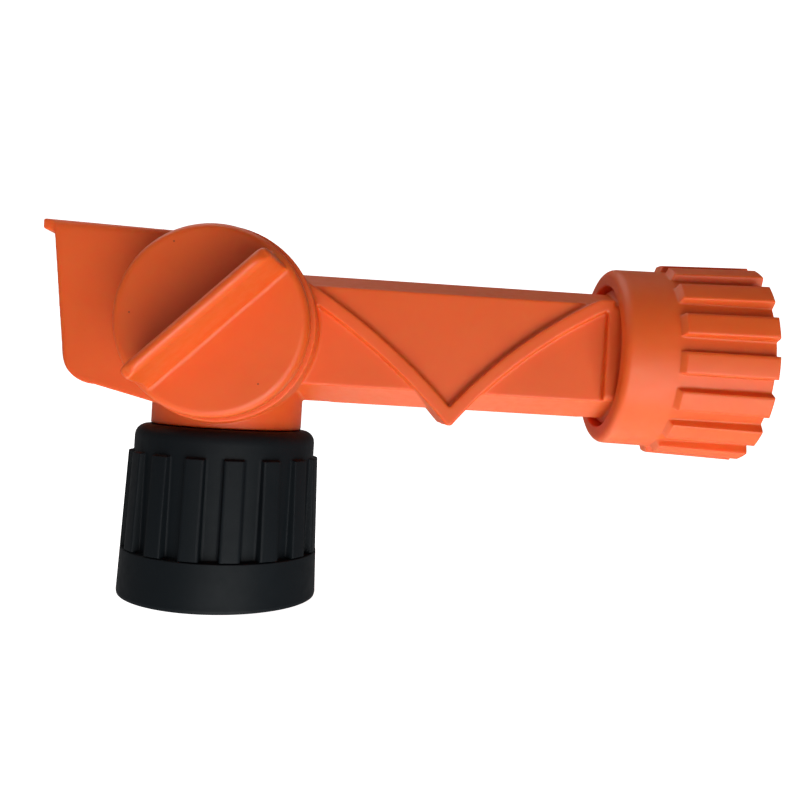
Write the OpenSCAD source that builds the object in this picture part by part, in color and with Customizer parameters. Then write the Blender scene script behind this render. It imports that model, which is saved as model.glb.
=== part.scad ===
// Two-way pour head: a quarter-turn valve joins a bottle neck to an open
// pouring trough or to a side arm. Both threaded collars swivel freely.
// Millimetres, +Z up. The origin is the mouth of the lower collar.

/* [Valve] */
// Outer radius of the valve barrel
barrel_r = 21.8; // [17:0.1:26]
// Half length of the barrel along its axis
barrel_half = 21.6; // [18:0.1:26]
// Radius of the knob disc
knob_r = 20.7; // [16:0.1:25]
// Thickness of the knob disc
knob_t = 7.6; // [6:0.1:10]
// Height of the knob's grip bar
grip_h = 16.4; // [8:0.1:20]
// Angle of the grip bar at rest
grip_angle = 44.5; // [40:0.5:50]
// Radius of the three flow ports
port_r = 6.5; // [4:0.1:6.8]

/* [Arm] */
// Distance from the valve axis to the arm's end disc
arm_len = 90.6; // [70:0.5:120]
// Height of the arm at its parting plane
arm_h = 30.9; // [24:0.1:34]
// Height of the arm's flat side face
arm_face_h = 23.0; // [16:0.1:26]
// Depth of the arm from face to face
arm_d = 22.4; // [18:0.1:26]
// How far the arm's axis lies below the valve axis
arm_drop = 0.5; // [0:0.1:2]
// How far the V ribs stand out of the side faces
rib_out = 2.2; // [0.8:0.1:3]

/* [Trough] */
// Reach of the pouring lip from the valve axis
lip_x = 41.8; // [36:0.1:50]
// Width of the trough
trough_w = 29.0; // [22:0.5:34]
// Wall thickness of the moulding
wall = 2.0; // [1.6:0.1:2.6]

/* [Collars] */
// Thread radius of both collars
thread_r = 19.0; // [18:0.1:19.4]
// Height of the lower collar
collar_h = 40.2; // [34:0.1:48]
// Length of the arm's nut
nut_len = 34.5; // [30:0.1:44]
// Radius over the grips of both collars
grip_r = 24.0; // [23.6:0.1:27]
// Number of grips on each collar
grip_n = 16; // [10:1:20]

/* [Hidden] */
$fn = 96;
eps = 0.01;
slip = 0.2;            // axial gap at each swivel
swivel_gap = 0.4;      // radial gap at each swivel
seat_gap = 0.05;       // fixed pieces that drop into a seat
run_gap = 0.05;        // rotor in its liner
side_gap = 0.3;        // other turning faces

neck_drop = barrel_r + 1.5;
axis_z = collar_h + slip + neck_drop;
arm_z = axis_z - arm_drop;
neck_r = thread_r - 1.0;
skin_r = thread_r + 2.5;
spigot_r = thread_r - 5.9;
tube_r = spigot_r - 2.7;
lip_t = 3.2;
ring_t = 3.4;
ring_h = 3.4;
relief_r = thread_r - 0.4;
ring_r = relief_r - 2.0;
gasket_r = relief_r - swivel_gap;
gasket_t = 2.2;
seat_h = collar_h - lip_t - slip - ring_h - gasket_t;

disc_r = thread_r - 2.4;
disc_lip = 1.2;
end_rib_x = arm_len - 1.4;
end_rib_r = disc_r + 0.3;
nut_x = arm_len + 0.7;
disc_t = 3.5;
disc_end = arm_len + disc_t;
nut_lip_x = disc_end + slip;
nut_lip_end = nut_lip_x + lip_t;
nut_end = nut_x + nut_len;
seat_x = nut_lip_end + slip + ring_t + gasket_t;
nut_mouth_r = thread_r - 1.5;

bore_r = 18.6;
bore_back = 18.6;
liner_r = 17.6;
liner_half = 15.5;
rotor_r = liner_r - run_gap;
rotor_front = 20.4;
rotor_back = 16.0;
flange_r = bore_r - side_gap;
flange_back = 16.4;
ring_groove_r = 16.6;
oring_r = 0.97;
front_groove_y = 18.4;
stem_r = 4.5;
stem_hole_r = 4.85;
stem_end = barrel_half + 0.4;
stem_groove_r = 3.4;
stem_oring_r = 0.7;
stem_groove_y = barrel_half - 1.5;
stem_oring_mid = stem_groove_r + stem_oring_r;
pilot_r = 1.9;
screw_r = 2.0;
washer_r = 8.0;
washer_t = 1.0;
slip_t = 0.3;
boss_r = 13.5;
boss_end = barrel_half + 5.4;
recess_r = 11.0;
cap_t = 1.2;
lug_t = 1.8;
lug_in = 8.5;
lug_out = 15.0;
lug_half = 15;
stop_play = 1;
socket_d = 5.0;
socket_w = 12.0;
knob_gap = 0.4;
knob_back = barrel_half + knob_gap;
knob_front = knob_back + knob_t;
turn = 90;

corner_r = 8.0;
lean = 7.4;
rim_z = axis_z + barrel_r - 0.9;
rim_slope = 0.028;
v_left = [-54.0, axis_z - 116.8];
v_right = [139.7, axis_z - 88.1];
v_left_r = 147.5;
v_right_r = 113.0;
v_band = 3.2;
v_tip_z = axis_z - 19.7;

// ---------- helpers ----------

// A cylinder along +Y from y0 to y1 about the valve axis.
module ycyl(r, y0, y1) {
  translate([0, y1, axis_z])
    rotate([90, 0, 0])
      cylinder(r = r, h = y1 - y0);
}

// A cylinder along +X from x0 to x1 about the arm's axis.
module xcyl(r, x0, x1) {
  translate([x0, 0, arm_z])
    rotate([0, 90, 0])
      cylinder(r = r, h = x1 - x0);
}

// The same at the height of the valve axis.
module xcyl_at_axis(r, x0, x1) {
  translate([0, 0, arm_drop])
    xcyl(r, x0, x1);
}

// A cylinder along +Z from z0 to z1 about the neck's axis.
module zcyl(r, z0, z1) {
  translate([0, 0, z0])
    cylinder(r = r, h = z1 - z0);
}

// Stand a profile drawn in X and Z up, centred on y = 0.
module upright(w) {
  rotate([90, 0, 0])
    translate([0, 0, -w / 2])
      linear_extrude(height = w)
        children();
}

// A flat sector of a ring, from angle a0 to a1, drawn in X and Y.
module sector(r0, r1, a0, a1) {
  n = 8;
  pts = [for (i = [0 : n]) 2 * r1 * [cos(a0 + (a1 - a0) * i / n), sin(a0 + (a1 - a0) * i / n)]];
  intersection() {
    difference() {
      circle(r = r1);
      circle(r = r0);
    }
    polygon(concat([[0, 0]], pts));
  }
}

// A ring of round section about +Z.
module oring(mid, r) {
  rotate_extrude()
    translate([mid, 0])
      circle(r = r, $fn = 32);
}

// Ring-shaped piece with its axis along +Z, from z = 0 up.
module flat_ring(r_in, r_out, t) {
  difference() {
    cylinder(r = r_out, h = t);
    translate([0, 0, -1])
      cylinder(r = r_in, h = t + 2);
  }
}

// ---------- body ----------

// Height of the trough's rim, which rises gently towards the lip.
function rim(x) = rim_z - rim_slope * x;

// Trough seen from the front, with its walls moved in by o.
module trough_side(o) {
  up = o > 0 ? 1 : 0;
  foot_x = -lip_x + 5.6;
  floor_z = axis_z - 14.6;
  corner_x = foot_x + corner_r;
  corner_z = floor_z + corner_r - 0.4;
  slope = 0.24;
  far = 15;
  far_z = floor_z - 0.4 - slope * far;
  run = corner_x + far * 1;
  polygon([[corner_x, far_z + slope * (run - corner_x) + o],
           [corner_x, rim(corner_x) + up],
           [0, rim(0) + up],
           [0, axis_z - 20.4 + o],
           [-15.3, axis_z - 18.1 + o]]);
  polygon([[foot_x - 3.3 + o, rim(foot_x - 3.3 + o) + up],
           [corner_x + eps, rim(corner_x + eps) + up],
           [corner_x + eps, corner_z],
           [foot_x + 0.06 + o, corner_z]]);
  translate([corner_x, corner_z])
    circle(r = corner_r - o);
}

// Plan of the trough with its outer corners rounded in short flats.
module trough_plan(o) {
  half = trough_w / 2 - o;
  q = max(1.6 - o, 0.5);
  x0 = -lip_x + 2.4 + o;
  arc = [for (a = [0 : 15 : 90]) [x0 + q - q * sin(a), half - q + q * cos(a)]];
  flip = [for (i = [len(arc) - 1 : -1 : 0]) [arc[i][0], -arc[i][1]]];
  polygon(concat([[0, half]], arc, flip, [[0, -half]]));
}

module trough_shell(o) {
  intersection() {
    upright(trough_w + 2)
      trough_side(o);
    translate([0, 0, axis_z])
      rotate([0, -lean, 0])
        translate([2.5, 0, -40])
          linear_extrude(height = 80)
            trough_plan(o);
  }
}

// The pouring lip along the trough's far top edge.
module trough_lip() {
  z1 = rim(-lip_x);
  root = -lip_x + 4.4;
  upright(trough_w - 1.2)
    polygon([[-lip_x, z1], [-lip_x, z1 - 2.3], [-lip_x + 1, z1 - 2.65],
             [-lip_x + 2.6, z1 - 2.9], [root, z1 - 2.9], [root, rim(root)]]);
}

// Six-sided section of the arm, drawn in Y and Z, with its walls moved in by o.
module arm_section(o) {
  a = arm_h / 2 - o * 1.06;
  b = arm_face_h / 2 - o * 0.7;
  d = arm_d / 2 - o;
  polygon([[0, a], [-d, b], [-d, -b], [0, -a], [d, -b], [d, b]]);
}

module arm_duct(o, x0, x1) {
  translate([x0, 0, arm_z])
    rotate([90, 0, 90])
      linear_extrude(height = x1 - x0)
        arm_section(o);
}

// Both bowed ribs of one V, drawn in X and Z.
module v_rib_side() {
  intersection() {
    difference() {
      union() {
        translate(v_left) circle(r = v_left_r, $fn = 180);
        translate(v_right) circle(r = v_right_r, $fn = 180);
      }
      v_below();
    }
    polygon([[17, v_tip_z + 20], [51.9, v_tip_z], [54.5, v_tip_z], [arm_len, v_tip_z + 22],
             [arm_len, arm_z + arm_face_h / 2 + 0.9], [17, arm_z + arm_face_h / 2 + 0.9]]);
  }
}

// Everything under the ribs.
module v_below() {
  translate(v_left) circle(r = v_left_r - v_band, $fn = 180);
  translate(v_right) circle(r = v_right_r - v_band, $fn = 180);
}

// Web that carries the arm's side faces down into the point of the V.
module v_web_side() {
  top = arm_z - arm_face_h / 2 + 0.8;
  difference() {
    polygon([[44, top], [51.9, v_tip_z + 0.4], [54.5, v_tip_z + 0.4], [62, top]]);
    v_below();
  }
}

// Rib across the arm's side faces where it enters the nut.
// The last of the arm is trimmed round, so it always enters the nut's mouth.
module arm_tip() {
  intersection() {
    arm_duct(0, end_rib_x - 1, disc_end);
    xcyl(end_rib_r, end_rib_x - 2, disc_end + 1);
  }
}

module end_rib() {
  half_w = arm_d / 2 + rib_out;
  half_h = arm_face_h / 2 - 0.2;
  intersection() {
    translate([end_rib_x, -half_w, arm_z - half_h])
      cube([disc_end - end_rib_x, 2 * half_w, 2 * half_h]);
    xcyl(end_rib_r, end_rib_x - 1, disc_end + 1);
  }
}

module stop_sector(a0, a1) {
  translate([0, bore_back + eps, axis_z])
    rotate([90, 0, 0])
      linear_extrude(height = lug_t + eps)
        sector(lug_in - 0.5, lug_out + 0.5, a0, a1);
}

module body() {
  color([0.95, 0.36, 0.14]) {
    difference() {
      union() {
        ycyl(barrel_r, -barrel_half, barrel_half);
        ycyl(boss_r, 0, boss_end);
        trough_shell(0);
        trough_lip();
        arm_duct(0, 10, end_rib_x);
        arm_tip();
        xcyl(disc_r, disc_end - disc_lip, disc_end);
        end_rib();
        xcyl(spigot_r, disc_end - 1, nut_lip_end + slip + ring_t);
        upright(arm_d + 2 * rib_out)
          v_rib_side();
        upright(arm_d)
          v_web_side();
        zcyl(neck_r, collar_h + slip, axis_z);
        zcyl(spigot_r, collar_h - lip_t - slip - ring_h, axis_z);
      }
      ycyl(bore_r, -barrel_half - 1, bore_back);
      ycyl(stem_hole_r, 0, barrel_half + 1);
      ycyl(recess_r, barrel_half, boss_end + 1);
      difference() {
        trough_shell(wall);
        ycyl(barrel_r, -barrel_half - 1, barrel_half + 1);
      }
      difference() {
        arm_duct(wall, 10, arm_len - 2);
        ycyl(barrel_r, -barrel_half - 1, barrel_half + 1);
      }
      xcyl(tube_r, arm_len - 4, nut_end);
      difference() {
        zcyl(tube_r, 0, axis_z);
        ycyl(barrel_r, -barrel_half - 1, barrel_half + 1);
      }
      xcyl_at_axis(port_r, -30, 30);
      zcyl(port_r, axis_z - 30, axis_z);
      translate([-1.5, -liner_half, axis_z])
        cube([3, 2 * liner_half + 2, bore_r + 1.25]);
    }
    stop_sector(-90 - 45 - lug_half - stop_play - 28, -90 - 45 - lug_half - stop_play);
    stop_sector(-45 + lug_half + stop_play, -45 + lug_half + stop_play + 28);
  }
}

// ---------- valve ----------

module grip_bar() {
  half_l = knob_r - 1.4;
  top_l = half_l - 2.3;
  base_t = 4.8;
  top_t = 2.8;
  y0 = -knob_front + 0.5;
  y1 = -knob_front - grip_h;
  translate([0, 0, axis_z])
    rotate([0, -grip_angle, 0])
      intersection() {
        translate([0, 0, -base_t])
          linear_extrude(height = 2 * base_t)
            polygon([[-half_l, y0], [-top_l - 1.5, y1 + 1.2], [-top_l, y1],
                     [top_l, y1], [top_l + 1.5, y1 + 1.2], [half_l, y0]]);
        translate([-half_l - 1, 0, 0])
          rotate([90, 0, 90])
            linear_extrude(height = 2 * half_l + 2)
              polygon([[y0, -base_t / 2], [y1 + 0.8, -top_t / 2], [y1, -top_t / 2 + 0.7],
                       [y1, top_t / 2 - 0.7], [y1 + 0.8, top_t / 2], [y0, base_t / 2]]);
      }
}

module knob() {
  edge = 1.0;
  hub_r = 9.5;
  skirt = 2.2;
  web = 3.0;
  color([0.96, 0.38, 0.15]) {
    difference() {
      union() {
        ycyl(knob_r, -knob_front + edge, -knob_back);
        translate([0, -knob_front + edge, axis_z])
          rotate([90, 0, 0])
            cylinder(r1 = knob_r, r2 = knob_r - edge, h = edge);
      }
      difference() {
        ycyl(knob_r - skirt, -knob_front + web, -knob_back + 1);
        ycyl(hub_r, -knob_front, -knob_back + 1);
      }
    }
    grip_bar();
    difference() {
      translate([0, -knob_back, axis_z])
        rotate([0, 45, 0])
          translate([-socket_w / 2 + seat_gap, -eps, -socket_w / 2 + seat_gap])
            cube([socket_w - 2 * seat_gap, socket_d + knob_back - rotor_front + eps,
                  socket_w - 2 * seat_gap]);
      ycyl(3, -knob_back - 1, -rotor_front + socket_d + 1);
    }
  }
}

module rotor() {
  color([0.93, 0.92, 0.88]) {
    difference() {
      union() {
        ycyl(rotor_r, -flange_back - eps, rotor_back);
        ycyl(flange_r, -rotor_front, -flange_back);
        ycyl(stem_r, rotor_back - 1, stem_end);
        translate([0, rotor_back, axis_z])
          rotate([-90, 0, 0])
            linear_extrude(height = lug_t)
              sector(lug_in, lug_out, 135 - lug_half, 135 + lug_half);
      }
      xcyl_at_axis(port_r, -30, 3);
      translate([0, 0, axis_z - 30])
        cylinder(r = port_r - 0.1, h = 34);
      translate([0, -rotor_front - 1, axis_z])
        rotate([0, 45, 0])
          translate([-socket_w / 2, 0, -socket_w / 2])
            cube([socket_w, socket_d + 1, socket_w]);
      difference() {
        ycyl(flange_r + 1, -front_groove_y - 1.1, -front_groove_y + 1.1);
        ycyl(ring_groove_r, -front_groove_y - 2, -front_groove_y + 2);
      }
      difference() {
        ycyl(stem_r + 1, stem_groove_y - 0.8, stem_groove_y + 0.8);
        ycyl(stem_groove_r, stem_groove_y - 2, stem_groove_y + 2);
      }
      ycyl(pilot_r, rotor_back - 3.5, stem_end + 1);
    }
  }
}

module port_liner() {
  color([0.55, 0.57, 0.58])
    difference() {
      union() {
        ycyl(bore_r, -liner_half, liner_half);
        translate([-1.45, -liner_half, axis_z])
          cube([2.9, 2 * liner_half, bore_r + 1.2]);
      }
      ycyl(liner_r, -liner_half - 1, liner_half + 1);
      xcyl_at_axis(port_r, -30, 30);
      translate([0, 0, axis_z - 30])
        cylinder(r = port_r, h = 30);
    }
}

module front_oring() {
  color([0.1, 0.1, 0.1])
    translate([0, -front_groove_y, axis_z])
      rotate([90, 0, 0])
        oring(ring_groove_r + oring_r, oring_r);
}

module stem_oring() {
  color([0.1, 0.1, 0.1])
    translate([0, stem_groove_y, axis_z])
      rotate([90, 0, 0])
        oring(stem_oring_mid, stem_oring_r);
}

module slip_washer() {
  color([0.9, 0.9, 0.88])
    translate([0, stem_end, axis_z])
      rotate([90, 0, 0])
        flat_ring(stem_r + seat_gap, washer_r, slip_t);
}

module stem_washer() {
  color([0.75, 0.76, 0.78])
    translate([0, stem_end + washer_t, axis_z])
      rotate([90, 0, 0])
        flat_ring(screw_r + 0.15, washer_r, washer_t);
}

module stem_screw() {
  head_h = 2.4;
  head_r = 4.0;
  seat = stem_end + washer_t;
  color([0.72, 0.73, 0.75])
    difference() {
      union() {
        ycyl(screw_r, rotor_back - 2.5, seat + eps);
        translate([0, seat, axis_z])
          rotate([-90, 0, 0])
            cylinder(r1 = head_r, r2 = head_r - 1.0, h = head_h);
      }
      for (a = [0, 90])
        translate([0, seat + head_h - 1.2, axis_z])
          rotate([0, a, 0])
            translate([-2, 0, -0.45])
              cube([4, 2, 0.9]);
    }
}

module rear_cap() {
  plug_t = 1.4;
  color([0.95, 0.36, 0.14])
    difference() {
      union() {
        ycyl(recess_r - seat_gap, boss_end - plug_t, boss_end + eps);
        ycyl(boss_r - 0.8, boss_end, boss_end + cap_t);
      }
      ycyl(recess_r - 1.6, boss_end - plug_t - 1, boss_end);
    }
}

// ---------- collars ----------

module grips(n, r_bottom, r_top, z0, z1, half, phase) {
  intersection() {
    translate([0, 0, z0])
      cylinder(r1 = r_bottom, r2 = r_top, h = z1 - z0);
    for (i = [0 : n - 1])
      translate([0, 0, z0])
        linear_extrude(height = z1 - z0)
          rotate([0, 0, phase + i * 360 / n])
            sector(skin_r - 0.6, r_bottom + r_top, -half, half);
  }
}

module collar() {
  band_h = 11.1;
  grip_top = collar_h - 6.4;
  round_r = 2.6;
  foot_r = grip_r - 0.2;
  top_r = grip_r - 1.35;
  band_r = foot_r - (foot_r - top_r) * band_h / grip_top;
  rib_half = 180 / grip_n * 0.52;
  phase = -90 + 3.6 + 180 / grip_n;
  color([0.09, 0.1, 0.11])
    difference() {
      union() {
        rotate_extrude()
          polygon(concat([[12, 0], [foot_r - 0.4, 0], [foot_r, 0.5], [band_r, band_h],
                          [skin_r, band_h], [skin_r, collar_h - round_r]],
                         [for (a = [15 : 15 : 90])
                            [skin_r - round_r + round_r * cos(a),
                             collar_h - round_r + round_r * sin(a)]],
                         [[12, collar_h]]));
        grips(grip_n, band_r, top_r, band_h, grip_top, rib_half, phase);
      }
      zcyl(thread_r, -1, seat_h);
      zcyl(relief_r, 0, collar_h - lip_t);
      zcyl(spigot_r + swivel_gap, 0, collar_h + 1);
    }
}

module nut() {
  grip_start = 12.9;
  round_r = 2.6;
  end_r = grip_r;
  start_r = grip_r - 0.65;
  rib_half = 6.6;
  phase = -90 + 4.3;
  color([0.97, 0.4, 0.17])
    difference() {
      translate([nut_end, 0, arm_z])
        rotate([0, -90, 0])
          rotate([0, 0, 180]) {
            rotate_extrude()
              polygon(concat([[12, 0], [skin_r + 0.3, 0], [skin_r + 0.2, nut_len - grip_start],
                              [skin_r, nut_len - round_r]],
                             [for (a = [15 : 15 : 90])
                                [skin_r - round_r + round_r * cos(a),
                                 nut_len - round_r + round_r * sin(a)]],
                             [[12, nut_len]]));
            grips(grip_n, end_r, start_r, 0, nut_len - grip_start, rib_half, phase);
          }
      xcyl(nut_mouth_r, nut_x - 1, nut_lip_x);
      xcyl(spigot_r + swivel_gap, nut_x, nut_end);
      xcyl(relief_r, nut_lip_end, nut_end);
      xcyl(thread_r, seat_x, nut_end + 1);
    }
}

module neck_ring() {
  color([0.85, 0.85, 0.82])
    translate([0, 0, collar_h - lip_t - slip - ring_h])
      flat_ring(spigot_r, ring_r, ring_h);
}

module neck_gasket() {
  color([0.2, 0.2, 0.2])
    translate([0, 0, collar_h - lip_t - slip - ring_h - gasket_t])
      flat_ring(tube_r, gasket_r, gasket_t);
}

module arm_ring() {
  color([0.85, 0.85, 0.82])
    translate([nut_lip_end + slip, 0, arm_z])
      rotate([0, 90, 0])
        flat_ring(spigot_r, ring_r, ring_t);
}

module arm_gasket() {
  color([0.2, 0.2, 0.2])
    translate([nut_lip_end + slip + ring_t, 0, arm_z])
      rotate([0, 90, 0])
        flat_ring(tube_r, gasket_r, gasket_t);
}

body();
knob();
rotor();
port_liner();
front_oring();
stem_oring();
slip_washer();
stem_washer();
stem_screw();
rear_cap();
collar();
neck_ring();
neck_gasket();
nut();
arm_ring();
arm_gasket();
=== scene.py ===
"""Looks for the two-way pour spout.

The moulded shells are softened from their CAD nodes, the two ribbed collars
are modelled with real threads, and the stage is a plain white studio.
Lengths are in millimetres unless a comment says otherwise.
"""

import math

import bpy
import numpy as np
from mathutils import Matrix, Vector
from mathutils.bvhtree import BVHTree


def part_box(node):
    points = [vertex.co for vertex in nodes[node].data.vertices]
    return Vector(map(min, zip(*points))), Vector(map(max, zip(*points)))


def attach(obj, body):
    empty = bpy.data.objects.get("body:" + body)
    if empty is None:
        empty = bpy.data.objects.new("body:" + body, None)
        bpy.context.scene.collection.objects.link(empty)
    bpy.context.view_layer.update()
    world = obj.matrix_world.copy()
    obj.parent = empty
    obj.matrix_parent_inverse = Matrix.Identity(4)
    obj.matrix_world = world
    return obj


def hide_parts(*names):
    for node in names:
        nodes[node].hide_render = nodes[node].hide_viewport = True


MM = 0.001
DEG = math.radians(1)
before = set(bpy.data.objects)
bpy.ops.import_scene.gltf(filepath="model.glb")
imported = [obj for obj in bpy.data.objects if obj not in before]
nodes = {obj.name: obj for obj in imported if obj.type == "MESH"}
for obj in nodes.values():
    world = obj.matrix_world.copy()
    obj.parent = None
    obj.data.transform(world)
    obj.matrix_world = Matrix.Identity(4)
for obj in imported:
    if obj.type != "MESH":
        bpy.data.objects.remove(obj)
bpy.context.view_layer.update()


def mm_box(name):
    lo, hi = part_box(name)
    return np.array(lo) / MM, np.array(hi) / MM


KNOB_LO, KNOB_HI = mm_box("knob")
NUT_LO, NUT_HI = mm_box("nut")
COL_LO, COL_HI = mm_box("collar")
VALVE_Z = (KNOB_LO[2] + KNOB_HI[2]) / 2
ARM_Z = (NUT_LO[2] + NUT_HI[2]) / 2

# Grip bar on the knob. BAR_Y is how far in front of the valve's middle the
# bar's half-length is BAR_HALF_L. BAR_REACH is what still counts as the bar,
# along it and across it.
GRIP_H = 16.4
GRIP_ANGLE = 44.5 * DEG
KNOB_DISC_Y = KNOB_LO[1] + GRIP_H
BAR_Y = (29.1, 44.8, 45.2, 46.0)
BAR_HALF_L = (19.3, 18.5, 18.3, 17.0)
BAR_END_R = 2.6
BAR_REACH = (19.6, 3.4)
BAR_CREST_Y = -40.0
BAR_CREST_HALF = 1.4
BAR_END_NARROW = 0.42
BAR_END_DROP = 1.5
BAR_END_FULLNESS = 0.92
BAR_CREST_ROUND = 0.35

# Both collars. The thread ridge's root sits THREAD_BITE into the wall, and
# its ends fade out over THREAD_FADE of a turn.
GRIPS = 16
SKIN = 21.5
THREAD_R = 19.0
LIP_BORE = 13.5
LIP_T = 3.2
RELIEF_R = THREAD_R - 0.4
RELIEF_H = 5.8
CREST_R = THREAD_R - 1.1
THREAD_PITCH = 4.23
ROOT_HALF = 1.25
CREST_HALF = 0.5
THREAD_BITE = 0.15
THREAD_STEPS = 120
THREAD_FADE = 0.12
THREAD_END_T = 0.35

# Trough rim and the seam under the arm. The rim is rolled over from
# ROLL_X towards the lip, and ROLL_GROW further on the roll is at its largest.
RIM_Z = VALVE_Z + 20.9
RIM_SLOPE = 0.028
TROUGH_HALF = 14.5
TROUGH_INNER = 12.6
TROUGH_END_X = -6.0
ROLL_X = -10.0
ROLL_GROW = 30.0
ROLL_H = (1.3, 2.9)
ROLL_DEPTH = (0.75, 1.30)
SEAM_X = (24.0, 88.0)
SEAM_END = 2.0
ARM_UNDERSIDE = 14.0
SEAM_DEPTH = 0.16
SEAM_HALF = 0.4


def smooth01(x):
    x = np.clip(x, 0, 1)
    return x * x * (3 - 2 * x)


def rise(x, start, width):
    """0 before start, 1 from start + width on."""
    return smooth01((x - start) / width)


def fall(x, end, width):
    """1 up to end - width, 0 from end on."""
    return smooth01((end - x) / width)


# ---------------------------------------------------------------- materials

class Tree:
    """Short way to build a node material."""

    def __init__(self, name):
        self.mat = bpy.data.materials.new(name)
        self.mat.use_nodes = True
        self.nodes = self.mat.node_tree.nodes
        self.links = self.mat.node_tree.links
        self.bsdf = self.nodes["Principled BSDF"]
        self.coords = self.nodes.new("ShaderNodeTexCoord")

    def new(self, kind, **settings):
        n = self.nodes.new(kind)
        for key, value in settings.items():
            setattr(n, key, value)
        return n

    def link(self, a, out, b, into):
        self.links.new(a.outputs[out], b.inputs[into])

    def noise(self, scale, detail, rough=0.5, stretch=None):
        """Noise in object space, or in the space of a mapping node."""
        n = self.new("ShaderNodeTexNoise")
        n.inputs["Scale"].default_value = scale
        n.inputs["Detail"].default_value = detail
        n.inputs["Roughness"].default_value = rough
        if stretch is None:
            self.link(self.coords, "Object", n, "Vector")
        else:
            self.link(stretch, "Vector", n, "Vector")
        return n

    def ramp(self, noise, stops):
        r = self.new("ShaderNodeValToRGB")
        e = r.color_ramp.elements
        while len(e) < len(stops):
            e.new(0.5)
        for item, (pos, colour) in zip(e, stops):
            item.position = pos
            item.color = (*colour, 1)
        self.link(noise, "Fac", r, "Fac")
        return r

    def bump(self, parts):
        """parts: (noise, strength, distance in metres); they are chained."""
        last = None
        for noise, strength, distance in parts:
            b = self.new("ShaderNodeBump")
            b.inputs["Strength"].default_value = strength
            b.inputs["Distance"].default_value = distance
            self.link(noise, "Fac", b, "Height")
            if last is not None:
                self.link(last, "Normal", b, "Normal")
            last = b
        self.link(last, "Normal", self.bsdf, "Normal")


def grey(v):
    return (v, v, v)


def speck(t, colour, port, spot, dark):
    """Darken the colour in one small round dot, and return the mix node."""
    far = t.new("ShaderNodeVectorMath", operation="DISTANCE")
    t.link(t.coords, "Object", far, 0)
    far.inputs[1].default_value = spot
    mask = t.new("ShaderNodeMapRange")
    mask.inputs["From Min"].default_value = 0.12 * MM
    mask.inputs["From Max"].default_value = 0.26 * MM
    mask.inputs["To Min"].default_value = 0.8
    mask.inputs["To Max"].default_value = 0.0
    t.link(far, "Value", mask, "Value")
    mix = t.new("ShaderNodeMix", data_type="RGBA")
    t.link(mask, "Result", mix, 0)
    t.link(colour, port, mix, 6)
    mix.inputs[7].default_value = (*dark, 1)
    return mix


def plastic(name, base, deep, pale, rough, grain, sub=0.0, specks=(), spec=0.5):
    """Moulded plastic or rubber, clouded in colour and finely grained."""
    t = Tree(name)
    cloud = t.noise(35.0, 3.0, 0.6)
    colour = t.ramp(cloud, [(0.3, deep), (0.5, base), (0.75, pale)])
    port = "Color"
    for spot in specks:
        colour = speck(t, colour, port, spot, [c * 0.15 for c in deep])
        port = 2
    t.link(colour, port, t.bsdf, "Base Color")
    fine = t.noise(2600.0, 2.0, 0.6)
    mid = t.noise(420.0, 3.0, 0.55)
    sheen = t.ramp(mid, [(0.3, grey(rough - 0.05)), (0.7, grey(rough + 0.06))])
    t.link(sheen, "Color", t.bsdf, "Roughness")
    t.bump([(mid, 0.05, 0.25 * MM), (fine, grain, 0.03 * MM)])
    t.bsdf.inputs["Specular IOR Level"].default_value = spec
    if sub > 0:
        t.bsdf.inputs["Subsurface Weight"].default_value = sub
        t.bsdf.inputs["Subsurface Radius"].default_value = (1.0, 0.20, 0.06)
        t.bsdf.inputs["Subsurface Scale"].default_value = 1.8 * MM
    return t.mat


def orange(name, base, rough=0.45, specks=(), spec=0.38):
    """The body's orange polypropylene, a little translucent."""
    r, g, b = base
    deep = (r - 0.03, g - 0.007, b - 0.002)
    pale = (r + 0.03, g + 0.008, b + 0.003)
    return plastic(name, base, deep, pale, rough, 0.12, sub=0.60, specks=specks, spec=spec)


def steel(name):
    """Stainless steel with fine marks drawn out across Y."""
    t = Tree(name)
    stretch = t.new("ShaderNodeMapping")
    stretch.inputs["Scale"].default_value = (1.0, 30.0, 1.0)
    t.link(t.coords, "Object", stretch, "Vector")
    marks = t.noise(900.0, 3.0, stretch=stretch)
    colour = t.ramp(marks, [(0.3, (0.46, 0.46, 0.47)), (0.7, (0.62, 0.62, 0.63))])
    t.link(colour, "Color", t.bsdf, "Base Color")
    sheen = t.ramp(marks, [(0.3, grey(0.24)), (0.7, grey(0.38))])
    t.link(sheen, "Color", t.bsdf, "Roughness")
    t.bsdf.inputs["Metallic"].default_value = 1.0
    t.bump([(marks, 0.08, 0.04 * MM)])
    return t.mat


# Dark specks in the knob's disc, as X and Z from the valve's axis.
SPECK_AT = ((-8.45, 16.05), (-16.88, 0.59), (10.82, -12.82))
SPOTS = [(x * MM, KNOB_DISC_Y * MM, (VALVE_Z + z) * MM) for x, z in SPECK_AT]

ORANGE = orange("orange_pp", (0.74, 0.110, 0.016))
ORANGE_KNOB = orange("orange_pp_knob", (0.74, 0.110, 0.012), rough=0.42, specks=SPOTS, spec=0.45)
ORANGE_NUT = orange("orange_pp_nut", (0.74, 0.113, 0.017))
BLACK = plastic("black_pp", (0.0058, 0.0082, 0.0102), (0.0050, 0.0072, 0.0092),
                (0.0072, 0.0102, 0.0126), 0.50, 0.4, spec=0.11)
ACETAL = plastic("natural_acetal", (0.80, 0.79, 0.74), (0.76, 0.75, 0.70),
                 (0.83, 0.82, 0.78), 0.33, 0.06, sub=0.05)
SILICONE = plastic("grey_silicone", (0.20, 0.21, 0.22), (0.18, 0.19, 0.20),
                   (0.22, 0.23, 0.24), 0.5, 0.15)
RUBBER = plastic("black_rubber", (0.022, 0.022, 0.022), (0.017, 0.017, 0.017),
                 (0.03, 0.03, 0.03), 0.6, 0.4, spec=0.35)
STEEL = steel("stainless")


# ---------------------------------------------------------------- mesh tools

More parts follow.
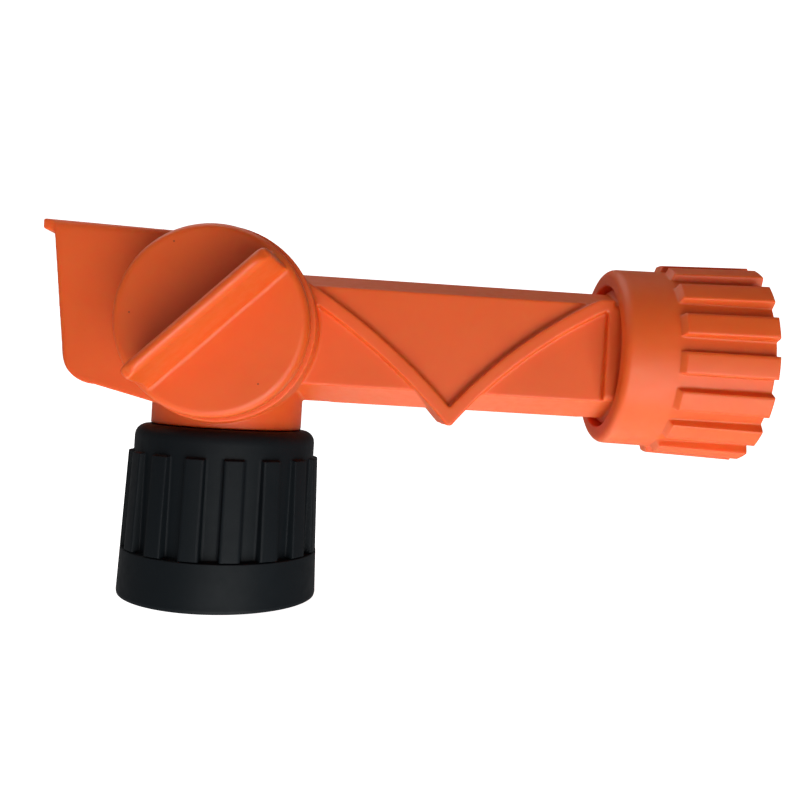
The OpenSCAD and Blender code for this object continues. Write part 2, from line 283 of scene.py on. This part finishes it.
def linked(name, data):
    o = bpy.data.objects.new(name, data)
    bpy.context.scene.collection.objects.link(o)
    return o


def finish_mesh(me, mat):
    me.materials.clear()
    me.materials.append(mat)
    me.polygons.foreach_set("use_smooth", [True] * len(me.polygons))
    me.update()


def make(name, verts, faces, mat):
    me = bpy.data.meshes.new(name)
    me.from_pydata([tuple(v) for v in np.asarray(verts) * MM], [], [tuple(f) for f in faces])
    me.validate()
    finish_mesh(me, mat)
    return linked(name, me)


def relaxed(p, edges, rounds):
    """Each point moved half way to the mean of its neighbours, rounds times."""
    n = len(p)
    a, b = edges[:, 0], edges[:, 1]
    count = np.maximum(np.bincount(edges.ravel(), minlength=n).astype(float)[:, None], 1)
    for _ in range(rounds):
        total = np.zeros_like(p)
        for c in range(3):
            total[:, c] = np.bincount(a, p[b, c], n) + np.bincount(b, p[a, c], n)
        p = p * 0.5 + 0.5 * total / count
    return p


def softened(name, node, voxel, rounds, mat, shape=None):
    """The CAD node with its edges and inner corners softened as moulding does.

    It is remeshed finely, relaxed, and laid back on the CAD surface wherever
    it is still within keep of it. shape(points) then adds what is not in CAD.
    """
    keep = 0.05
    src = nodes[node]
    tmp = linked("tmp", src.data.copy())
    mod = tmp.modifiers.new("remesh", "REMESH")
    mod.mode = "VOXEL"
    mod.voxel_size = voxel * MM
    depsgraph = bpy.context.evaluated_depsgraph_get()
    me = bpy.data.meshes.new_from_object(tmp.evaluated_get(depsgraph))
    surface = BVHTree.FromObject(src, depsgraph)
    bpy.data.objects.remove(tmp)
    co = np.zeros(len(me.vertices) * 3, np.float32)
    me.vertices.foreach_get("co", co)
    co = co.reshape(-1, 3).astype(np.float64)
    edges = np.zeros(len(me.edges) * 2, np.int32)
    me.edges.foreach_get("vertices", edges)
    edges = edges.reshape(-1, 2)

    co = relaxed(co, edges, rounds)
    near = np.array([surface.find_nearest(Vector(p))[0] or Vector(p) for p in co])
    gap = np.linalg.norm(near - co, axis=1) / MM
    w = np.clip((keep - gap) / (keep * 0.5), 0, 1)[:, None]
    co = relaxed(co * (1 - w) + near * w, edges, 1)
    if shape is not None:
        co = shape(co / MM) * MM
    me.vertices.foreach_set("co", co.astype(np.float32).ravel())
    finish_mesh(me, mat)
    return linked(name, me)


def rounded_path(points, steps=5):
    """A closed profile of (r, z, radius) corners turned into a rounded loop."""
    corners = [np.array(p[:2], float) for p in points]
    out = []
    n = len(corners)
    for i, (_, _, radius) in enumerate(points):
        p = corners[i]
        u = corners[i - 1] - p
        v = corners[(i + 1) % n] - p
        len_u, len_v = np.linalg.norm(u), np.linalg.norm(v)
        u, v = u / len_u, v / len_v
        angle = math.acos(max(-1, min(1, float(u @ v))))
        if radius <= 0 or angle > math.pi - 0.02:
            out.append(p)
            continue
        d = min(radius / math.tan(angle / 2), len_u * 0.48, len_v * 0.48)
        r = d * math.tan(angle / 2)
        centre = p + (u + v) / np.linalg.norm(u + v) * (r / math.sin(angle / 2))
        a0 = math.atan2(*(p + u * d - centre)[::-1])
        a1 = math.atan2(*(p + v * d - centre)[::-1])
        sweep = (a1 - a0 + math.pi) % (2 * math.pi) - math.pi
        for k in range(steps + 1):
            t = a0 + sweep * k / steps
            out.append(centre + r * np.array([math.cos(t), math.sin(t)]))
    return np.array(out)


def densify(loop, gap):
    """The closed loop with points no further apart than gap."""
    out = []
    n = len(loop)
    for i in range(n):
        a, b = loop[i], loop[(i + 1) % n]
        k = max(1, int(math.ceil(np.linalg.norm(b - a) / gap)))
        for j in range(k):
            out.append(a + (b - a) * j / k)
    return np.array(out)


def with_rings(loop, heights, r_min):
    """The loop with extra points at these heights where it climbs outside."""
    out = []
    for i in range(len(loop)):
        a, b = loop[i], loop[(i + 1) % len(loop)]
        out.append(a)
        if a[0] > r_min and b[0] > r_min and b[1] > a[1]:
            for z in sorted(heights):
                if a[1] + 1e-6 < z < b[1] - 1e-6:
                    out.append(a + (b - a) * (z - a[1]) / (b[1] - a[1]))
    return np.array(out)


def turned(loop, theta, push):
    """Grid of a closed (r, z) loop turned through theta; push(r, z, th) adds to r."""
    rows, cols = len(loop), len(theta)
    r = np.repeat(loop[:, 0][:, None], cols, 1)
    z = np.repeat(loop[:, 1][:, None], cols, 1)
    th = np.repeat(theta[None, :], rows, 0)
    r = r + push(r, z, th)
    verts = np.stack([r * np.cos(th), r * np.sin(th), z], -1).reshape(-1, 3)
    i, j = np.meshgrid(np.arange(rows), np.arange(cols), indexing="ij")
    i_next = (i + 1) % rows
    j_next = (j + 1) % cols
    corners = [i * cols + j, i * cols + j_next, i_next * cols + j_next, i_next * cols + j]
    return verts, np.stack(corners, -1).reshape(-1, 4)


def thread_ridge(z0, z1):
    """A helical ridge inside a bore that fades into the wall at both ends."""
    turns = (z1 - z0) / THREAD_PITCH
    n = int(THREAD_STEPS * turns)
    root = THREAD_R + THREAD_BITE
    shoulder = CREST_R + THREAD_BITE
    flat = CREST_HALF - THREAD_BITE
    section = [(root, -ROOT_HALF), (THREAD_R, -ROOT_HALF), (shoulder, -CREST_HALF),
               (CREST_R, -flat), (CREST_R, flat), (shoulder, CREST_HALF),
               (THREAD_R, ROOT_HALF), (root, ROOT_HALF)]
    m = len(section)
    verts, faces = [], []
    for k in range(n + 1):
        t = k / n
        angle = 2 * math.pi * turns * t
        fade = smooth01(min(t, 1 - t) * turns / THREAD_FADE)
        thick = THREAD_END_T + (1 - THREAD_END_T) * fade
        for r, h in section:
            rr = root - (root - r) * fade
            z = z0 + (z1 - z0) * t + h * thick
            verts.append((rr * math.cos(angle), rr * math.sin(angle), z))
    for k in range(n):
        for i in range(m):
            a, b = k * m + i, k * m + (i + 1) % m
            faces.append((a, b, b + m, a + m))
    faces.append(tuple(range(m))[::-1])
    faces.append(tuple(n * m + i for i in range(m)))
    return np.array(verts), faces


def joined(parts):
    verts, faces, base = [], [], 0
    for v, f in parts:
        verts.append(np.asarray(v))
        faces += [tuple(int(x) + base for x in q) for q in f]
        base += len(v)
    return np.concatenate(verts), faces


def rib_angles(phase, half, blend):
    """Angles round a collar, closer together on each rib's flanks."""
    flank, crest, gap = 5, 7, 6
    step = 2 * math.pi / GRIPS
    marks = (-half - blend, -half + blend, half - blend, half + blend, step - half - blend)
    one = []
    for k, count in enumerate((flank, crest, flank, gap)):
        one += list(np.linspace(marks[k], marks[k + 1], count, endpoint=False))
    return np.array([phase + i * step + s for i in range(GRIPS) for s in one])


def rib_mask(th, phase, half, blend):
    """1 on a rib, 0 between ribs."""
    step = 2 * math.pi / GRIPS
    d = (th - phase + step / 2) % step - step / 2
    return smooth01((half + blend - np.abs(d)) / (2 * blend))


# ---------------------------------------------------------------- pieces

def build_nut():
    """Orange arm nut, with its open end at z = 0 until it is laid along X."""
    length = NUT_HI[0] - NUT_LO[0]
    end_r = (NUT_HI[2] - NUT_LO[2]) / 2
    plain = 12.9
    grip_len = length - plain
    grip_taper = 0.65
    foot_r = SKIN + 0.3
    half = 6.6 * DEG
    blend = 0.55 * DEG
    top_rib = 270 - 4.3
    phase = top_rib * DEG
    mouth_r = THREAD_R - 1.5
    mouth_depth = 3.0
    lip_top = length - mouth_depth
    lip_foot = lip_top - LIP_T
    relief_foot = lip_foot - RELIEF_H
    loop = densify(rounded_path([
        (THREAD_R, 0, 0.35), (foot_r, 0, 0.4), (SKIN + 0.2, grip_len + 0.2, 0.0),
        (SKIN, length, 3.0), (mouth_r, length, 0.45), (mouth_r, lip_top, 0.3),
        (LIP_BORE, lip_top, 0.3), (LIP_BORE, lip_foot, 0.3),
        (RELIEF_R, lip_foot, 0.3), (RELIEF_R, relief_foot, 0.1), (THREAD_R, relief_foot, 0.1),
    ]), 0.55)

    def push(r, z, th):
        outer = rise(r, SKIN - 0.9, 0.5)
        along = fall(z, grip_len + 0.25, 0.5) * rise(z, -0.35, 0.55)
        top = end_r - grip_taper * z / grip_len
        return outer * along * (top - foot_r) * rib_mask(th, phase, half, blend)

    shell = turned(loop, rib_angles(phase, half, blend), push)
    verts, faces = joined([shell, thread_ridge(3.0, 19.0)])
    laid = np.stack([NUT_HI[0] - verts[:, 2], verts[:, 1], ARM_Z + verts[:, 0]], -1)
    return make("bottle_nut", laid, [f[::-1] for f in faces], ORANGE_NUT)


def build_collar():
    """Black lower collar, whose ribs and foot band share one tapered outside."""
    h = COL_HI[2] - COL_LO[2]
    foot = (COL_HI[0] - COL_LO[0]) / 2
    band = 11.1
    grip_top = h - 6.4
    taper = 1.15
    ribbed_share = 0.52
    half = 180 / GRIPS * ribbed_share * DEG
    blend = 0.45 * DEG
    front_gap = -90 + 3.6
    phase = (front_gap + 180 / GRIPS) * DEG
    lip_foot = h - LIP_T
    relief_foot = lip_foot - RELIEF_H
    loop = densify(rounded_path([
        (THREAD_R, 0, 0.4), (foot - 0.15, 0, 0.15), (foot, 0.75, 0.2),
        (foot - taper * band / grip_top, band, 0.0),
        (foot - taper - 0.01, grip_top + 0.02, 0.0), (SKIN + 0.02, h - 6.0, 0.0),
        (SKIN, h, 2.8), (LIP_BORE, h, 0.4), (LIP_BORE, lip_foot, 0.3),
        (RELIEF_R, lip_foot, 0.3), (RELIEF_R, relief_foot, 0.1), (THREAD_R, relief_foot, 0.1),
    ]), 0.6)
    outer_r = SKIN - 0.5
    ring_gap = 0.11
    steps = [z + k * ring_gap for z in (band, grip_top) for k in range(-4, 5)]
    loop = with_rings(loop, steps, outer_r)

    def push(r, z, th):
        land = foot - taper * z / grip_top
        in_grips = rise(z, band - 0.12, 0.3) * fall(z, grip_top + 0.15, 0.35)
        below = fall(z, band + 0.12, 0.3)
        mask = rib_mask(th, phase, half, blend)
        want = SKIN + (land - SKIN) * np.maximum(below, in_grips * mask)
        ribbed = (r > outer_r) & (z < h - 5.5) & (z > 0.8)
        return np.where(ribbed, want - r, 0.0)

    shell = turned(loop, rib_angles(phase, half, blend), push)
    verts, faces = joined([shell, thread_ridge(8.0, 27.0)])
    return make("threaded_collar", verts + np.array([0, 0, COL_LO[2]]), faces, BLACK)


def rolled_rim(p):
    """Round the trough's top rim, most of all by the lip, and add the seam."""
    x, y, z = p[:, 0], p[:, 1], p[:, 2]
    top = RIM_Z - RIM_SLOPE * x
    lip = np.clip((ROLL_X - x) / ROLL_GROW, 0, 1)
    height = ROLL_H[0] + (ROLL_H[1] - ROLL_H[0]) * lip
    depth = ROLL_DEPTH[0] + (ROLL_DEPTH[1] - ROLL_DEPTH[0]) * lip
    up = np.clip((z - (top - height)) / height, 0, 1)
    limit = TROUGH_HALF - depth * (1 - np.sqrt(np.clip(1 - up ** 2, 0, 1)))
    rim = (x < TROUGH_END_X) & (np.abs(y) > TROUGH_INNER) & (z > top - height)
    q = p.copy()
    q[:, 1] = np.where(rim, np.sign(y) * np.minimum(np.abs(y), limit), y)
    seam = np.clip(1 - np.abs(y) / SEAM_HALF, 0, 1)
    seam = seam * rise(x, SEAM_X[0], SEAM_END) * fall(x, SEAM_X[1], SEAM_END)
    q[:, 2] -= np.where(z < ARM_Z - ARM_UNDERSIDE, SEAM_DEPTH * seam, 0.0)
    return q


def round_bar(p):
    """Narrow and lower the grip bar towards both ends, so they are round."""
    cos_a, sin_a = math.cos(GRIP_ANGLE), math.sin(GRIP_ANGLE)
    x, y, z = p[:, 0], p[:, 1], p[:, 2] - VALVE_Z
    along = x * cos_a + z * sin_a
    across = -x * sin_a + z * cos_a
    half_l = np.interp(-y, BAR_Y, BAR_HALF_L)
    end = np.clip((np.abs(along) - half_l + BAR_END_R) / BAR_END_R, 0, 1)
    turn = 1 - np.sqrt(1 - BAR_END_FULLNESS * end ** 2)
    above_disc = fall(y, KNOB_DISC_Y - 0.6, 3.0)
    crest = fall(y, BAR_CREST_Y, 6.0)
    narrow = across * (1 - BAR_END_NARROW * above_disc * turn)
    flank = np.clip(np.abs(across) / BAR_CREST_HALF, 0, 1) ** 2
    lowered = y + crest * (BAR_END_DROP * turn + BAR_CREST_ROUND * flank)
    on_bar = (np.abs(along) < BAR_REACH[0]) & (np.abs(across) < BAR_REACH[1])
    q = p.copy()
    q[:, 0] = np.where(on_bar, along * cos_a - narrow * sin_a, x)
    q[:, 2] = np.where(on_bar, along * sin_a + narrow * cos_a, z) + VALVE_Z
    q[:, 1] = np.where(on_bar, lowered, y)
    return q


body = softened("spout_body", "body", 0.3, 2, ORANGE, shape=rolled_rim)
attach(body, "housing")
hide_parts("body")

knob = softened("valve_knob", "knob", 0.25, 14, ORANGE_KNOB, shape=round_bar)
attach(knob, "valve")
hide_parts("knob")

cap = softened("rear_plug", "rear_cap", 0.25, 3, ORANGE)
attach(cap, "housing")
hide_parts("rear_cap")

nut = build_nut()
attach(nut, "arm_nut")
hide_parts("nut")

collar = build_collar()
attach(collar, "lower_collar")
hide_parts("collar")

# CAD nodes that are carried over as they are, with a material of their own.
for names, mat, slot in (
    (("rotor", "neck_ring", "arm_ring", "slip_washer"), ACETAL, "white_plastic"),
    (("port_liner",), SILICONE, "grey_rubber"),
    (("front_oring", "stem_oring", "neck_gasket", "arm_gasket"), RUBBER, "black_rubber"),
    (("stem_washer", "stem_screw"), STEEL, "steel"),
):
    for name in names:
        o = nodes[name]
        o.data.materials.clear()
        o.data.materials.append(mat)


# ---------------------------------------------------------------- stage

def paper(name, colour, glow):
    """Evenly glowing paper that is clear from its back."""
    t = Tree(name)
    cloud = t.noise(3.0, 2.0)
    tone = t.ramp(cloud, [(0.3, [c * 0.985 for c in colour]), (0.7, colour)])
    t.link(tone, "Color", t.bsdf, "Base Color")
    t.bsdf.inputs["Roughness"].default_value = 0.9
    t.bsdf.inputs["Specular IOR Level"].default_value = 0.1
    t.link(tone, "Color", t.bsdf, "Emission Color")
    t.bsdf.inputs["Emission Strength"].default_value = glow
    side = t.new("ShaderNodeNewGeometry")
    clear = t.new("ShaderNodeBsdfTransparent")
    mix = t.new("ShaderNodeMixShader")
    t.link(side, "Backfacing", mix, 0)
    t.link(t.bsdf, 0, mix, 1)
    t.link(clear, 0, mix, 2)
    t.link(mix, 0, t.nodes["Material Output"], "Surface")
    return t.mat


def build_stage():
    """Round floor that curves up into a backdrop and closes overhead.

    It is only seen: it throws no shadow, bounce or reflection on the part.
    """
    floor_r, cove_r, dome_r, dome_z, dome_h = 1200, 800, 2000, 2200, 1400
    sides, arc = 64, 12
    floor_z = -0.05
    profile = [(r, 0.0) for r in (20, 400, 800, floor_r)]
    for k in range(1, arc + 1):
        a = math.pi / 2 * k / arc
        profile.append((floor_r + cove_r * math.sin(a), cove_r - cove_r * math.cos(a)))
    for k in range(arc + 1):
        a = math.pi / 2 * k / (arc + 0.2)
        profile.append((dome_r * math.cos(a), dome_z + dome_h * math.sin(a)))
    verts = [(0.0, 0.0, floor_z)]
    for r, z in profile:
        for j in range(sides):
            a = 2 * math.pi * j / sides
            verts.append((r * math.cos(a), r * math.sin(a), z + floor_z))
    faces = [(0, 1 + j, 1 + (j + 1) % sides) for j in range(sides)]
    for i in range(len(profile) - 1):
        low, high = 1 + i * sides, 1 + (i + 1) * sides
        for j in range(sides):
            k = (j + 1) % sides
            faces.append((low + j, high + j, high + k, low + k))
    o = make("floor", np.array(verts), faces, paper("paper", (0.95, 0.95, 0.95), 1.1))
    o.visible_shadow = False
    o.visible_diffuse = False
    o.visible_glossy = False


def area(name, loc, target, size, watts, colour):
    """A square light at loc, in metres, that faces target."""
    d = bpy.data.lights.new(name, "AREA")
    d.energy = watts
    d.color = colour
    d.size = size
    o = linked(name, d)
    o.location = loc
    o.rotation_mode = "QUATERNION"
    o.rotation_quaternion = (Vector(target) - Vector(loc)).to_track_quat("-Z", "Y")


def build_world(low, high):
    """Soft light all round, of strength low from below and high from above."""
    world = bpy.data.worlds.new("studio")
    bpy.context.scene.world = world
    world.use_nodes = True
    wn, wl = world.node_tree.nodes, world.node_tree.links
    background = wn["Background"]
    background.inputs["Color"].default_value = (0.98, 0.98, 1.0, 1)
    coord = wn.new("ShaderNodeTexCoord")
    split = wn.new("ShaderNodeSeparateXYZ")
    span = wn.new("ShaderNodeMapRange")
    span.inputs["From Min"].default_value = -1.0
    span.inputs["From Max"].default_value = 1.0
    span.inputs["To Min"].default_value = low
    span.inputs["To Max"].default_value = high
    wl.new(coord.outputs["Generated"], split.inputs["Vector"])
    wl.new(split.outputs["Z"], span.inputs["Value"])
    wl.new(span.outputs["Result"], background.inputs["Strength"])


def build_camera(place, yaw, pitch, roll, lens):
    data = bpy.data.cameras.new("camera")
    data.sensor_width = 36
    data.lens = lens
    data.clip_start = 0.01
    data.clip_end = 20
    cam = linked("camera", data)
    turn = (Matrix.Rotation(yaw, 3, "Z") @ Matrix.Rotation(pitch, 3, "X")
            @ Matrix.Rotation(roll, 3, "Y"))
    right, forward, up = turn.col[0], turn.col[1], turn.col[2]
    cam.rotation_mode = "QUATERNION"
    cam.rotation_quaternion = Matrix((right, up, -forward)).transposed().to_quaternion()
    cam.location = [c * MM for c in place]
    bpy.context.scene.camera = cam


build_stage()
area("key", (0.24, -0.71, -0.44), (0.04, 0, 0.06), 0.80, 9.0, (1.0, 0.985, 0.96))
area("under", (-0.06, 0.22, -1.0), (0.04, 0, 0.06), 1.3, 8.0, (1.0, 0.99, 0.97))
area("sky", (-0.30, 0.20, 1.0), (0.03, 0, 0.06), 1.1, 6.0, (1.0, 0.98, 0.96))
build_world(low=0.40, high=0.04)
build_camera((33.92, -204.69, VALVE_Z - 14.05), yaw=-2.289 * DEG, pitch=-0.110 * DEG,
             roll=-3.459 * DEG, lens=37.157)
bpy.context.scene.view_settings.view_transform = "Standard"
bpy.context.scene.view_settings.look = "None"
